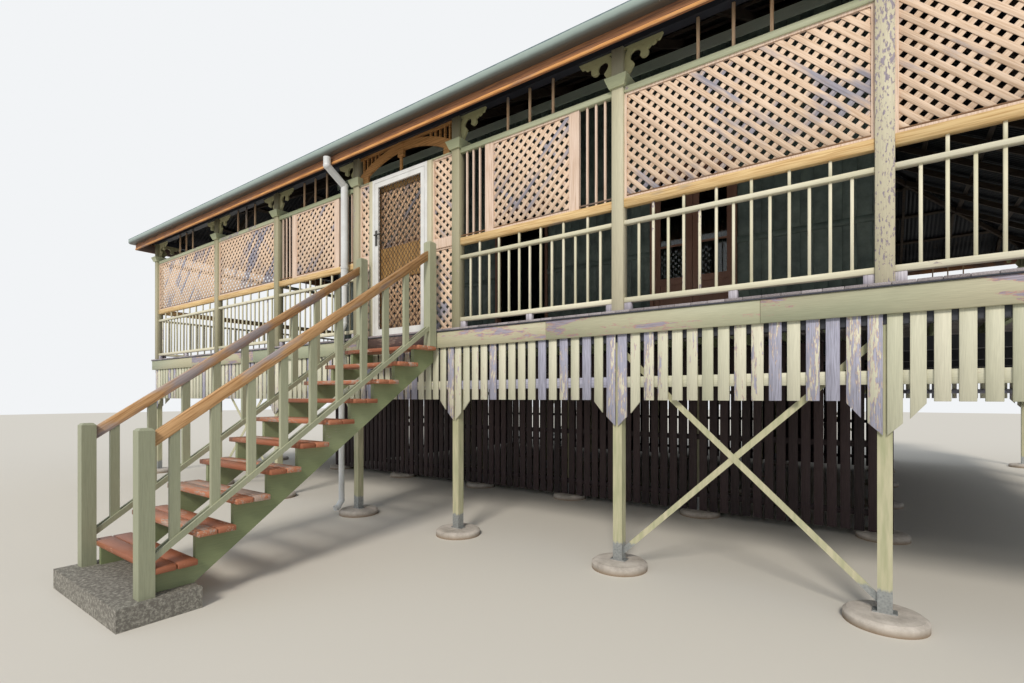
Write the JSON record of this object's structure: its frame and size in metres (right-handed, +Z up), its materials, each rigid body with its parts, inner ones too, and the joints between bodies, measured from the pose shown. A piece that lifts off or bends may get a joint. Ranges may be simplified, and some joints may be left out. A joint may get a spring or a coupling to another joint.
{
  "type": "stilt house",
  "caption": "High-set timber house on steel posts: hollow core, lattice-screened verandah all round, hinged doors, front stair and hipped corrugated roof.",
  "frame": {"origin": "centre of the whole house in plan, at the lowest ground level", "axes": "+X along the front to the right as seen from the street, +Y from the street to the back, +Z up"},
  "size_m": [16.3, 15.727, 8.6088],
  "materials": {
    "concrete": "rough cast, weathered",
    "painted_steel": "brushed green paint over galvanised steel",
    "green_timber": "old sage green paint, peeling",
    "skirt_timber": "sawn battens with worn pale green paint",
    "dark_battens": "dark stained battens",
    "floor_timber": "bare weathered boards",
    "cream_timber": "cream green paint",
    "raw_timber": "new unpainted softwood",
    "raw_lattice": "thin sawn slats, unpainted",
    "grey_blocks": "bare grey offcuts",
    "white_aluminium": "white powder coat",
    "black_metal": "black powder coat",
    "dark_green_boards": "dark green painted tongue and groove boards",
    "brown_joinery": "brown painted joinery",
    "clear_glass": "clear window glass",
    "roof_iron": "weathered corrugated iron",
    "gutter_metal": "grey green paint",
    "white_pipe": "white plastic pipe",
    "stair_green": "light green paint",
    "red_treads": "red brown paint, worn"
  },
  "bodies": {
    "root": {"concrete_footings": "concrete", "steel_posts": "painted_steel", "cross_braces": "painted_steel", "floor_bearers": "green_timber", "floor_joists": "green_timber", "edge_boards": "green_timber", "verandah_posts": "green_timber", "post_capitals": "green_timber", "head_rails": "green_timber", "verandah_plates": "green_timber", "entry_jambs": "green_timber", "wall_top_boards": "green_timber", "skirt_front": "skirt_timber", "skirt_sides": "skirt_timber", "underhouse_screens": "dark_battens", "floor_boards": "floor_timber", "balustrade_front": "cream_timber", "balustrade_sides": "cream_timber", "stair_balusters": "cream_timber", "fretwork_brackets": "cream_timber", "screen_sills": "raw_timber", "lattice_frames": "raw_timber", "entry_arch": "raw_timber", "eaves_fascia": "raw_timber", "stair_handrails": "raw_timber", "roof_battens": "raw_timber", "roof_rafters": "raw_timber", "lattice_entry": "raw_lattice", "lattice_inner": "raw_lattice", "lattice_l2": "raw_lattice", "lattice_l3": "raw_lattice", "lattice_r2": "raw_lattice", "lattice_r3": "raw_lattice", "lattice_left": "raw_lattice", "lattice_right": "raw_lattice", "rail_blocks": "grey_blocks", "screen_frame": "white_aluminium", "front_wall": "dark_green_boards", "other_walls": "dark_green_boards", "door_frames": "brown_joinery", "fixed_doors": "brown_joinery", "fixed_glass": "clear_glass", "roof_sheets": "roof_iron", "roof_cappings": "roof_iron", "gutter": "gutter_metal", "downpipe": "white_pipe", "stair_stringers": "stair_green", "stair_newels": "stair_green", "stair_treads": "red_treads"},
    "screen_door": {"screen_door": "white_aluminium", "screen_grille": "black_metal", "screen_handle": "black_metal"},
    "lattice_gate": {"gate_frame": "raw_timber", "gate_lattice": "raw_lattice"},
    "french_left": {"french_leaf_left": "brown_joinery", "french_glass_left": "clear_glass"},
    "french_right": {"french_leaf_right": "brown_joinery", "french_glass_right": "clear_glass"}
  },
  "joints": [
    {"name": "screen_door_hinge", "type": "hinge", "parent": "root", "child": "screen_door", "pos_m": [0.409, -4.6115, 3.44], "axis": [0, 0, 1], "range_deg": [0, 90]},
    {"name": "lattice_gate_hinge", "type": "hinge", "parent": "root", "child": "lattice_gate", "pos_m": [0.454, -4.5115, 3.44], "axis": [0, 0, -1], "range_deg": [0, 90]},
    {"name": "french_left_hinge", "type": "hinge", "parent": "root", "child": "french_left", "pos_m": [2.34, -1.8415, 3.6], "axis": [0, 0, 1], "range_deg": [0, 90]},
    {"name": "french_right_hinge", "type": "hinge", "parent": "root", "child": "french_right", "pos_m": [3.42, -1.8415, 3.6], "axis": [0, 0, -1], "range_deg": [0, 90]}
  ]
}
